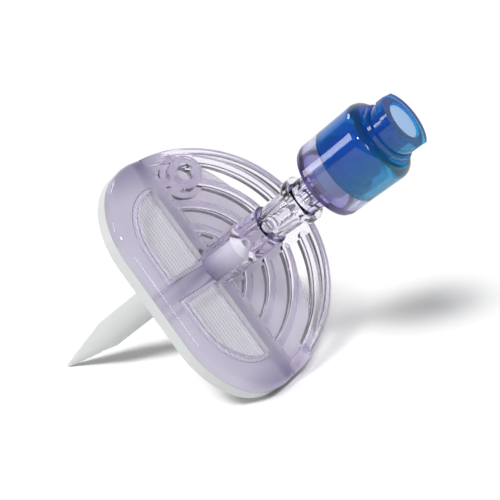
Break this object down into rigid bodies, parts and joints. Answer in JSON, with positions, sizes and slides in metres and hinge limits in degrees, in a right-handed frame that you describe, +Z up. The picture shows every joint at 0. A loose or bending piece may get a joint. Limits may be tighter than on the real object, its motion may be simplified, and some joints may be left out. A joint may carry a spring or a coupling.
{
  "type": "dispensing spike",
  "caption": "Vented dispensing spike with a D-shaped filter tray, a clear ribbed cover and a needle-free valve with a blue cap.",
  "frame": {"origin": "bottom centre of the bounding box of the part as it lies on its spike tip and the tray's rim", "axes": "+X towards the valve, +Y from the flat front edge towards the ribbed wing, +Z up from the table"},
  "size_m": [0.0672, 0.0356, 0.0429],
  "materials": {
    "white_plastic": "satin",
    "clear_plastic": "clear gloss",
    "filter_membrane": "matt",
    "clear_valve_plastic": "clear gloss",
    "blue_clear_plastic": "clear gloss",
    "silicone": "satin"
  },
  "bodies": {
    "root": {"spike_base": "white_plastic", "filter_cover": "clear_plastic", "left_filter_membrane": "filter_membrane", "right_filter_membrane": "filter_membrane", "valve_base": "clear_valve_plastic", "valve_plug": "silicone", "valve_cap": "blue_clear_plastic"}
  },
  "joints": []
}
